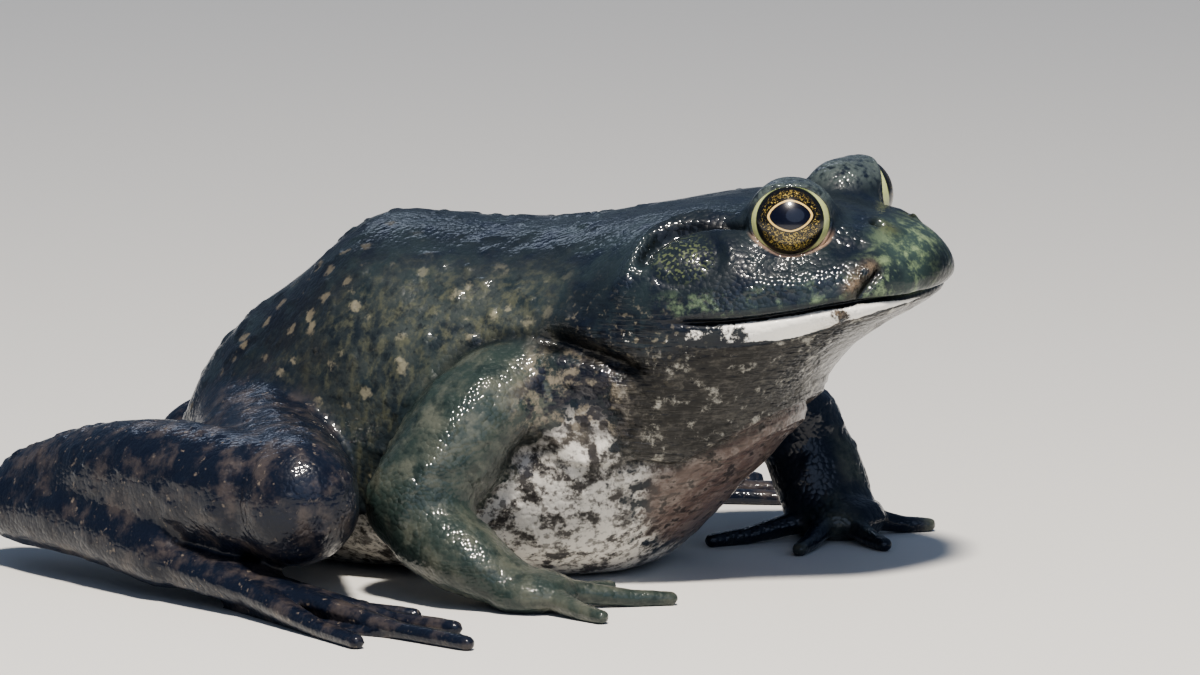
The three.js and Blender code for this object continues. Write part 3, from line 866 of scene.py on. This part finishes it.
under_lip = rise(-slit, lip_depth - 0.5, lip_depth + 0.8)
jaw_end = rise(x, 58, 70)
under_lip = under_lip * jaw_end + rise(-slit, 1, 10) * (1 - jaw_end)
arms = limb_share("upper_arm", "forearm", "hand")
legs = limb_share("thigh", "shank", "tarsus", "foot")
trunk = np.clip(1 - arms - legs, 0, 1)
zones = {
    "arm": arms,
    # Painted shade: the far arm, painted darker navy than the near one.
    "far_arm_shade": share_of(parts, [f"{n}_left" for n in ("upper_arm", "forearm", "hand")], links, 7),
    "leg": legs,
    "pale": rise(np.interp(x, *zip(*BELLY_EDGE)) - z, -13, 9) * (1 - 0.5 * rise(x, 43, 52)) * trunk,
    "throat": rise(x, 44, 56) * rise(z - pouch_height, -2.5, 2.5) * under_lip * trunk,
    # Partly painted shade: the lower chest's pink-brown skin, painted darker where it lies in shade.
    "blush_and_shade": rise(x, 48, 56) * (1 - rise(z - pouch_height, -1.5, 2)) * (1 - rise(y, 17, 27)) * trunk,
    "lip": (1 - rise(-slit, lip_depth - 0.5, lip_depth + 0.3)) * rise(-slit, 0.05, 0.5) * (x > 52),
    "lip_front": rise(x, 65.5, 81) - 0.75 * bump_of(x - 86.5, 2),
    "snout": rise(x, 86, 95) * rise(slit, 0, 1),
    "upper_lip": rise(x, 55, 62) * rise(slit, 0.6, 1.6) * (1 - rise(slit, 3.8, 6)),
    "drum": 1 - rise(drum_measure(left), 0.45, 0.95),
    "jaw": bump_of(far_from(left, JAW_CORNER, (0.6, 0.6, 1)), 6) * trunk,
    "shoulder": rise(x, 33, 38) * (1 - rise(x, 48, 56)) * rise(z, 24, 30) * (1 - rise(z, 38, 44)),
    "flank": rise(y, 15, 25) * rise(z, 10, 18) * (1 - rise(x, 30, 44)) * trunk,
    "rump": (1 - rise(x, -12, 14)) * trunk,
    # Painted shade: a near-black line along the closed slit of the mouth, weaker toward the snout.
    "mouth": (bump_of(slit + 0.05, 0.5) * rise(x, MOUTH_BACK - 1, MOUTH_BACK + 8)
              * (1 - 0.35 * rise(x, 84, 92))),
    # Painted shade: near black in the notch of the wound on the right upper lip.
    "notch": bump_of(along_path(places, lay_on_skin(NOTCH))[0], 0.7) * (slit > 0),
    "scab": bump_of(along_path(places, lay_on_skin(SCAB))[0], 1.3) * (slit > 0.5),
    # Painted shade: the lower front of the snout's tip, painted near black.
    "tip_shade": rise(x, 94.5, 98.5) * rise(slit, -2, 0.5) * (1 - rise(z, 60, 64)),
    # The top of the head over the eyes: its own grey-brown, lightened in part as a painted highlight.
    "brow": rise(z, 64, 67) * (x > 66),
    "mound": bump_of(far_from(left, NOSTRIL_MOUND), 1.9),
}
zones["drum"] *= rise(y, 15, 19) * (x > 50)
zones["scab"] = np.maximum(zones["scab"], zones["lip"] * bump_of(x - 86.5, 3))
print("markings:", ", ".join(zones))

# %% Zones of painted shade in creases, lids and gloss
ZONE_LINES = [  # zone, path, mirrored or not, strength, half width, share faded at each end
    # Painted shade: near black along the fold's groove, the creases and the nostril's slit.
    ("crease_shade", FOLD_GROOVE, True, 0.9, 0.9, 0.12),
    ("crease_shade", JAW_CREASE, True, 1.0, 1.9, 0.12),
    ("crease_shade", SHOULDER_CREASE, False, 0.5, 1.2, 0.12),
    ("crease_shade", POUCH_CREASE, True, 0.6, 0.9, 0.12),
    ("crease_shade", NOSTRIL_SLIT, True, 0.9, 0.6, 0.12),
    ("granular", LIP_RIDGE, True, 1, 1.9, 0.1),
    ("granular", CANTHUS, True, 1, 1.8, 0.1),
    ("granular", FOLD_RIDGE, True, 1, 1.5, 0.1),
    ("granular", UNDER_LID, True, 1, 1.2, 0.1),
    ("granular", ARM_RIDGE, False, 1, 1.8, 0.1),
]
CHEEK = np.array([70.8, 24.2, 57.4])
UNDER_EYE = np.array([78, 22, 55.8])

# Painted shade, near black, in the hollow behind the arm and in the nostril.
zones["crease_shade"] = np.maximum(0.95 * bump_of(far_from(left, ARM_HOLLOW, HOLLOW_SQUEEZE), 3.6),
                             bump_of(far_from(left, NOSTRIL), 0.9))
zones["granular"] = np.maximum(0.3 * arms, rise(z, 65.5, 67) * (x > 66))
for name, path, mirrored, share, width, faded in ZONE_LINES:
    away, t = along_path(left if mirrored else places, lay_on_skin(path))
    zones[name] = np.maximum(zones[name], share * bump_of(away, width) * fade_ends(t, faded))
dry = bump_of(far_from(left, CHEEK, (1, 0.6, 1.3)), 5)
between = bump_of(far_from(left, UNDER_EYE, (0.55, 0.5, 1)), 5)
zones["film"] = 0.6 + 0.4 * zones["granular"] - 0.55 * between * (1 - zones["granular"])
zones["film"] *= 1 - 0.88 * dry
zones["lid"] = 0 * x
for side in (1, -1):
    reach, q, upness = lid_measure(places, side)
    by_eye = (reach < EYE_RADIUS + 1.5) & (places[:, 1] * side > 0)
    zones["lid"] += (1 - rise(q, 1.12, 1.3)) * by_eye * (1 - rise(upness, -0.6, -0.15))
for name, values in zones.items():
    attribute = skin.data.attributes.new("zone_" + name, "FLOAT", "POINT")
    attribute.data.foreach_set("value", np.clip(values, 0, 1).astype(np.float32))
print("mean of each zone:", {name: round(float(values.mean()), 2) for name, values in zones.items()})

# %% [markdown]
# ## Wet amphibian skin
# A frog's skin is thin, bare and kept wet by mucus. The eye reads that from a clear, sharp
# gloss over a soft coloured layer, so the material has a coat that follows the film of water.
# The skin is granular: grains of just under a millimetre, each a small dome that catches its
# own glint. The colours are layers over a slate ground. Each has a zone, a noise pattern of a
# real size, and a range of that pattern in which it shows: clouds and blotches of pigment,
# flecks, and warts tipped with pale dots, which are drawn by the cells of a Voronoi texture.
# Some layers are painted shade, not pigment: creases, slit, notch, snout tip, far arm and chest blush.
# The lighter top of the brows is partly a painted highlight.

# %% Skin patterns
PATTERNS = {  # size in mm, octaves of detail, roughness
    "cloud": (15, 3, 0.55),
    "blotch": (5.5, 4, 0.62),
    "spot": (2.6, 3, 0.6),
    "fleck": (1.3, 2, 0.6),
    "dust": (0.5, 0, 0.5),
    "marble": (3.4, 5, 0.7),
}
STRETCHED = {  # tilt in degrees, scale along x, y, z, octaves, roughness, distortion
    "streak": (0, (0.62, 0.8, 0.3), 3, 0.6, 0),
    "pleat": (12, (0.22, 0.3, 1.5), 2, 0.5, 0),
    "net": (14, (0.45, 0.6, 0.95), 5, 0.72, 0.5),
}
GRAIN = 0.85
DOT_GAP = 4.6
DOT_BREAK = 0.55

skin_look, tree = new_material("wet_amphibian_skin")
object_place = add_node(tree, "TexCoord", {}, output="Object")
in_mm = add_node(tree, "VectorMath", {0: object_place, "Scale": 1 / MM}, operation="SCALE")
pattern = {}
for name, (pattern_size, detail, roughness) in PATTERNS.items():
    pattern[name] = add_node(tree, "TexNoise", {
        "Vector": in_mm, "Scale": 1 / pattern_size, "Detail": detail, "Roughness": roughness})
for name, (tilt, scales, detail, roughness, distortion) in STRETCHED.items():
    stretched = add_node(tree, "Mapping", {
        "Vector": in_mm, "Rotation": (0, math.radians(tilt), 0), "Scale": scales})
    pattern[name] = add_node(tree, "TexNoise", {
        "Vector": stretched, "Scale": 1.0, "Detail": detail, "Roughness": roughness,
        "Distortion": distortion})
grains = add_node(tree, "TexVoronoi", {"Vector": in_mm, "Scale": 1 / GRAIN}, feature="F1")
domes = add_node(tree, "Math", {0: grains, 1: grains}, operation="MULTIPLY")
dots = add_node(tree, "TexVoronoi", {"Vector": in_mm, "Scale": 1 / DOT_GAP}, feature="F1")
pattern["dots"] = add_node(tree, "Math", {0: pattern["fleck"], 1: DOT_BREAK, 2: dots},
                           operation="MULTIPLY_ADD")
print("patterns:", list(pattern))

# %% Skin colours
# Each layer: colour, zone or None for all over, pattern or None for plain, where the pattern
# starts and is full, and strength.
LAYERS = [
    ("2b3639", None, "cloud", 0.40, 0.66, 0.7),
    ("111828", None, "blotch", 0.46, 0.66, 0.7),
    ("454b48", "flank", "blotch", 0.34, 0.60, 0.75),
    ("63634f", "flank", "streak", 0.42, 0.70, 0.55),
    ("1b242b", "flank", "spot", 0.50, 0.70, 0.6),
    ("15191f", "flank", "fleck", 0.54, 0.70, 0.45),
    ("8f8a76", "flank", "dots", 0.56, 0.40, 0.62),
    ("17191f", "rump", "blotch", 0.36, 0.58, 0.75),
    ("7d7462", "rump", "dots", 0.56, 0.40, 0.6),
    ("303b37", "arm", None, 0, 0, 0.95),
    ("5d5f55", "arm", "blotch", 0.40, 0.66, 0.75),
    ("1b2827", "arm", "spot", 0.50, 0.68, 0.7),
    # Painted shade: the far arm darker than the near one.
    ("10182a", "far_arm_shade", "cloud", 0.30, 0.50, 0.9),
    ("121828", "leg", None, 0, 0, 0.9),
    ("4f4845", "leg", "blotch", 0.46, 0.66, 0.75),
    ("0d1222", "leg", "spot", 0.52, 0.66, 0.7),
    ("978a7a", "leg", "fleck", 0.62, 0.78, 0.5),
    ("40504a", "snout", "cloud", 0.30, 0.56, 0.75),
    ("8fa078", "snout", "marble", 0.46, 0.66, 0.75),
    ("1d2a2c", "snout", "blotch", 0.50, 0.66, 0.6),
    # Partly painted highlight: the top of the brows and the far dome, painted lighter grey.
    ("565f5c", "brow", "fleck", 0.30, 0.56, 0.7),
    ("5f6446", "mound", "fleck", 0.30, 0.55, 0.7),
    ("788a6c", "upper_lip", "marble", 0.48, 0.70, 0.75),
    ("d2cec6", "pale", None, 0, 0, 1.0),
    ("1d191b", "pale", "marble", 0.46, 0.60, 0.94),
    ("262222", "pale", "fleck", 0.52, 0.66, 0.65),
    ("131211", "throat", None, 0, 0, 0.96),
    ("58554e", "throat", "net", 0.44, 0.68, 0.65),
    ("0c0b0a", "throat", "pleat", 0.50, 0.60, 0.65),
    ("b0ada2", "throat", "marble", 0.55, 0.68, 0.75),
    # Partly painted shade: the chest's pink blush is darkened by these layers.
    ("625048", "blush_and_shade", None, 0, 0, 0.85),
    ("2a2320", "blush_and_shade", "pleat", 0.50, 0.64, 0.6),
    ("1f1a1a", "blush_and_shade", "spot", 0.55, 0.64, 0.85),
    ("0c0e1a", "jaw", "streak", 0.30, 0.60, 0.8),
    ("a29983", "jaw", "fleck", 0.58, 0.72, 0.6),
    ("08090f", "jaw", "pleat", 0.50, 0.60, 0.7),
    ("8b8272", "shoulder", "marble", 0.46, 0.60, 0.75),
    ("131624", "shoulder", "spot", 0.44, 0.56, 0.9),
    ("6a7350", "drum", "dust", 0.52, 0.66, 0.55),
    # Painted shade on the lower front of the snout's tip.
    ("0c1017", "tip_shade", None, 0, 0, 0.8),
    ("6a5d4e", "scab", "spot", 0.36, 0.50, 0.95),
    ("15120f", "scab", "fleck", 0.50, 0.60, 0.85),
    # Painted shade: near black in the grooves, creases and hollows.
    ("030508", "crease_shade", None, 0, 0, 0.94),
]
print("layers on the belly:", [code for code, where, *_ in LAYERS if where == "pale"])

# %% Ragged edges
# Pigment doesn't end in a clean line. In these zones a pattern is added before the sum is cut:
# the pattern, its share of the sum, and half the width of the cut.
RAGGED = {"pale": ("spot", 1.5, 0.1), "throat": ("marble", 1.1, 0.25), "blush_and_shade": ("spot", 0.9, 0.3)}

zone = {name: add_node(tree, "Attribute", {}, output="Fac", attribute_name="zone_" + name)
        for name in zones}
for name, (noise, share, soft) in RAGGED.items():
    ragged = add_node(tree, "Math", {0: pattern[noise], 1: share, 2: zone[name]},
                      operation="MULTIPLY_ADD")
    zone[name] = add_node(tree, "MapRange", {
        "Value": ragged, "From Min": 0.5 - soft + share / 2, "From Max": 0.5 + soft + share / 2},
        interpolation_type="SMOOTHSTEP")
print("ragged zones:", list(RAGGED))

# %% Lay the colours
layers = []
for code, where, name, starts, full, strength in LAYERS:
    if name:
        amount = add_node(tree, "MapRange", {
            "Value": pattern[name], "From Min": starts, "From Max": full, "To Max": strength},
            interpolation_type="SMOOTHSTEP")
    if where:
        amount = add_node(tree, "Math", {0: amount if name else strength, 1: zone[where]},
                          operation="MULTIPLY")
    layers.append((code, amount))

# The lower lip: whole and white in front, broken into spots toward the corner of the mouth.
broken = add_node(tree, "Math", {0: pattern["marble"], 1: 2.4, 2: zone["lip_front"]},
                  operation="MULTIPLY_ADD")
edged = add_node(tree, "Math", {0: zone["lip"], 1: 1.6, 2: broken}, operation="MULTIPLY_ADD")
white_lip = add_node(tree, "MapRange", {
    "Value": edged, "From Min": 3.0, "From Max": 3.25}, interpolation_type="SMOOTHSTEP")
# The lids' edge is kept within a fraction of a millimetre of the ball, on both sides alike.
on_left_side = add_node(tree, "VectorMath", {0: in_mm}, operation="ABSOLUTE")
eye_gap = add_node(tree, "VectorMath", {0: on_left_side, 1: tuple(EYE_AT)},
                   output="Value", operation="DISTANCE")
lid_edge = add_node(tree, "MapRange", {
    "Value": eye_gap, "From Min": EYE_RADIUS + 1.0, "From Max": EYE_RADIUS + 0.6})
lid_edge = add_node(tree, "Math", {0: lid_edge, 1: zone["lid"]}, operation="MULTIPLY")
# Painted shade: the slit of the mouth and the notch in the lip are painted near black.
layers += [("faf7ee", white_lip), ("050608", zone["mouth"]), ("0d0b0a", zone["notch"]),
           ("907867", lid_edge)]

colour = linear("1f262c")
for code, amount in layers:
    colour = add_node(tree, "Mix", {0: amount, 6: colour, 7: linear(code)},
                      output=2, data_type="RGBA")
print("colour layers:", len(layers))

# %% Skin relief and gloss
GRAIN_HEIGHT = 0.09
EXTRA_GRAIN = 1.4
STREAK_HEIGHT = 0.07
FLECK_HEIGHT = 0.03
PLEAT_HEIGHT = 0.5
CRUST_HEIGHT = 0.9

crust = add_node(tree, "Math", {0: zone["scab"], 1: pattern["fleck"]}, operation="MULTIPLY")
loose_skin = add_node(tree, "Math", {0: zone["jaw"], 1: zone["throat"]}, operation="MAXIMUM")
pleats = add_node(tree, "Math", {0: loose_skin, 1: pattern["pleat"]}, operation="MULTIPLY")
rough = add_node(tree, "Math", {0: zone["granular"], 1: EXTRA_GRAIN, 2: 1.0},
                 operation="MULTIPLY_ADD")
domes = add_node(tree, "Math", {0: domes, 1: rough}, operation="MULTIPLY")
# Heights in mm: each pattern times its own, added up.
height = 0.0
for height_field, tall in ((pattern["streak"], STREAK_HEIGHT), (pattern["fleck"], FLECK_HEIGHT),
                           (domes, -GRAIN_HEIGHT), (pleats, PLEAT_HEIGHT),
                           (crust, CRUST_HEIGHT)):
    height = add_node(tree, "Math", {0: height_field, 1: tall, 2: height}, operation="MULTIPLY_ADD")
relief = add_node(tree, "Bump", {"Strength": 1.0, "Distance": MM, "Height": height})
shine = add_node(tree, "MapRange", {
    "Value": pattern["spot"], "From Min": 0.35, "From Max": 0.65, "To Min": 0.3, "To Max": 0.5})
wet = add_node(tree, "BsdfPrincipled", {
    "Base Color": colour, "Roughness": shine, "IOR": 1.42, "Specular IOR Level": 0.2,
    "Normal": relief, "Coat Weight": zone["film"], "Coat Roughness": 0.035, "Coat Normal": relief})
add_node(tree, "OutputMaterial", {"Surface": wet})
skin.data.materials.append(skin_look)
print("skin nodes:", len(tree.nodes))

# %% [markdown]
# ## Eyes
# A frog's eye is a ball with a clear cornea over a flat iris. The iris is black, thickly flecked
# with gold, round a level, lens-shaped pupil with a thin gold edge. Outside the iris the ball is
# pale. Here it is one glossy ball whose colours are drawn from how far each point lies forward
# and up from the line of sight, and a clear coat gives the wet cornea. Where the lids hide the
# ball it sinks a little, so that it stays inside the skin.

# %% Eyeballs
EYE_RINGS = 48
CORNEA_REACH = 6.2
CORNEA_RISE = 0.8
HIDDEN_SINK = 1.3
HIDDEN_STARTS, HIDDEN_ENDS = 1.02, 1.3


def make_eye(side_name, side):
    """One eyeball with its pole on the way it looks, and a cornea that bulges a little."""
    select_only()
    bpy.ops.mesh.primitive_uv_sphere_add(
        segments=2 * EYE_RINGS, ring_count=EYE_RINGS, radius=EYE_RADIUS * MM, location=(0, 0, 0))
    ball = bpy.context.object
    ball.name = "eye_ball_" + side_name
    ahead, up, out = eye_axes(side)
    gaze, _ = read_places(ball)
    from_axis = np.hypot(gaze[:, 0], gaze[:, 1])
    bulge = CORNEA_RISE * np.clip(1 - (from_axis / CORNEA_REACH) ** 2, 0, 1) * (gaze[:, 2] > 0)
    level = from_axis + 1e-9
    past_lids = np.arctan2(level, gaze[:, 2]) / lid_opening(
        gaze[:, 0] / level, gaze[:, 1] / level) / LID_OPEN[side]
    bulge -= HIDDEN_SINK * rise(past_lids, HIDDEN_STARTS, HIDDEN_ENDS)
    gaze *= (1 + bulge / EYE_RADIUS)[:, None]
    kept_gaze = ball.data.attributes.new("gaze", "FLOAT_VECTOR", "POINT")
    kept_gaze.data.foreach_set("vector", gaze.astype(np.float32).ravel())
    turned = gaze[:, :1] * ahead + gaze[:, 1:2] * up + gaze[:, 2:] * out
    write_places(ball, turned + EYE_AT * (1, side, 1))
    bpy.ops.object.mode_set(mode="EDIT")
    bpy.ops.mesh.select_all(action="SELECT")
    bpy.ops.mesh.normals_make_consistent(inside=False)
    bpy.ops.object.mode_set(mode="OBJECT")
    ball.data.shade_smooth()
    return ball


eyes = {side_name: make_eye(side_name, side) for side_name, side in (("left", 1), ("right", -1))}
print("eyes:", [len(eye.data.polygons) for eye in eyes.values()], "faces")

# %% Eye look
PUPIL_WIDE = 3.4
PUPIL_HIGH = 2.4
PUPIL_UP = 0.7
PUPIL_POWER = 1.65
PUPIL_RING = 0.11
PUPIL_SOFT = 0.02
IRIS_RADIUS = 5.5

eye_look, tree = new_material("wet_cornea_over_gold_iris")
gaze = add_node(tree, "Attribute", {}, output="Vector", attribute_name="gaze")
gaze_x, gaze_y = [add_node(tree, "SeparateXYZ", {0: gaze}, output=axis) for axis in "XY"]
forward = add_node(tree, "Math", {0: gaze_x}, operation="ABSOLUTE")
raised = add_node(tree, "Math", {0: gaze_y, 1: PUPIL_UP}, operation="SUBTRACT")
raised = add_node(tree, "Math", {0: raised}, operation="ABSOLUTE")
# A measure that is 1 along the edge of the pupil, which is a little more pointed than an oval.
oval = 0.0
for length, half in ((forward, PUPIL_WIDE), (raised, PUPIL_HIGH)):
    share = add_node(tree, "Math", {0: length, 1: half}, operation="DIVIDE")
    power = add_node(tree, "Math", {0: share, 1: PUPIL_POWER}, operation="POWER")
    oval = add_node(tree, "Math", {0: power, 1: oval}, operation="ADD")
oval = add_node(tree, "Math", {0: oval, 1: 1 / PUPIL_POWER}, operation="POWER")
flat_gaze = add_node(tree, "VectorMath", {0: gaze, 1: (1, 1, 0)}, operation="MULTIPLY")
from_axis = add_node(tree, "VectorMath", {0: flat_gaze}, output="Value", operation="LENGTH")

gold = add_node(tree, "TexNoise", {
    "Vector": gaze, "Scale": 3.4, "Detail": 2, "Roughness": 0.6, "Distortion": 1.2})
# The gold thins out upward and toward both corners of the eye.
for length, fall in ((gaze_y, -0.006), (forward, -0.012)):
    gold = add_node(tree, "Math", {0: length, 1: fall, 2: gold}, operation="MULTIPLY_ADD")
# The pale ball shows beside the iris, not above or below it.
outside = add_node(tree, "MapRange", {
    "Value": from_axis, "From Min": IRIS_RADIUS + 0.05, "From Max": IRIS_RADIUS + 0.2})
sideways = add_node(tree, "MapRange", {"Value": forward, "From Min": 2.5, "From Max": 4.6})
beside = add_node(tree, "Math", {0: outside, 1: sideways}, operation="MULTIPLY")
STEPS = [  # colour, measure, where it starts, where it is full
    ("54491f", gold, 0.50, 0.54),
    ("c4aa5c", gold, 0.545, 0.59),
    ("0a0806", from_axis, 4.7, 5.2),
    ("7d885a", from_axis, IRIS_RADIUS, IRIS_RADIUS + 0.15),
    ("c2c88c", beside, 0.0, 1.0),
    # Painted shade: the ball turns dark olive at its outer edge, under the lids.
    ("2f3620", from_axis, 6.35, 6.65),
]
# The pupil's dark surround, its gold ring, and the pupil, each up to an edge of the oval.
# The pupil's navy is a painted reflection of blue sky over black.
EDGES = (("0a0a08", 1 + PUPIL_RING * 1.9), ("e8c67c", 1 + PUPIL_RING), ("04061a", 1.0))

layers = []
for code, measure, starts, full in STEPS:
    layers.append((code, add_node(tree, "MapRange", {
        "Value": measure, "From Min": starts, "From Max": full},
        interpolation_type="SMOOTHSTEP")))
for code, edge in EDGES:
    layers.append((code, add_node(tree, "MapRange", {
        "Value": oval, "From Min": edge - PUPIL_SOFT, "From Max": edge + PUPIL_SOFT, "To Min": 1.0,
        "To Max": 0.0})))
colour = linear("080604")
for code, amount in layers:
    colour = add_node(tree, "Mix", {0: amount, 6: colour, 7: linear(code)},
                      output=2, data_type="RGBA")
cornea = add_node(tree, "BsdfPrincipled", {
    "Base Color": colour, "Roughness": 0.3, "IOR": 1.38, "Coat Weight": 1.0,
    "Coat Roughness": 0.01, "Coat IOR": 1.5})
add_node(tree, "OutputMaterial", {"Surface": cornea})
for side_name, eye in eyes.items():
    eye.data.materials.append(eye_look)
    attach(eye, "root")
    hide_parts("eye_" + side_name)
print("eye nodes:", len(tree.nodes))

# %% [markdown]
# ## The finished frog
# The skin takes the place of all the solids of the flesh, and each ball the place of its own.
# A solid that is replaced isn't shown any more. So the frog's own box is measured after that,
# and both boxes are written down, to show that the frog stays inside the solids' box.

# %% End
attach(skin, "root")
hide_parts(*[name for name in part_names if name not in EYES])
size = {"cad": [list(p) for p in cad_box], "visual": [list(p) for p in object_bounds()]}
for label, box in size.items():
    print(label, "box in mm:", [[round(c / MM, 1) for c in p] for p in box])
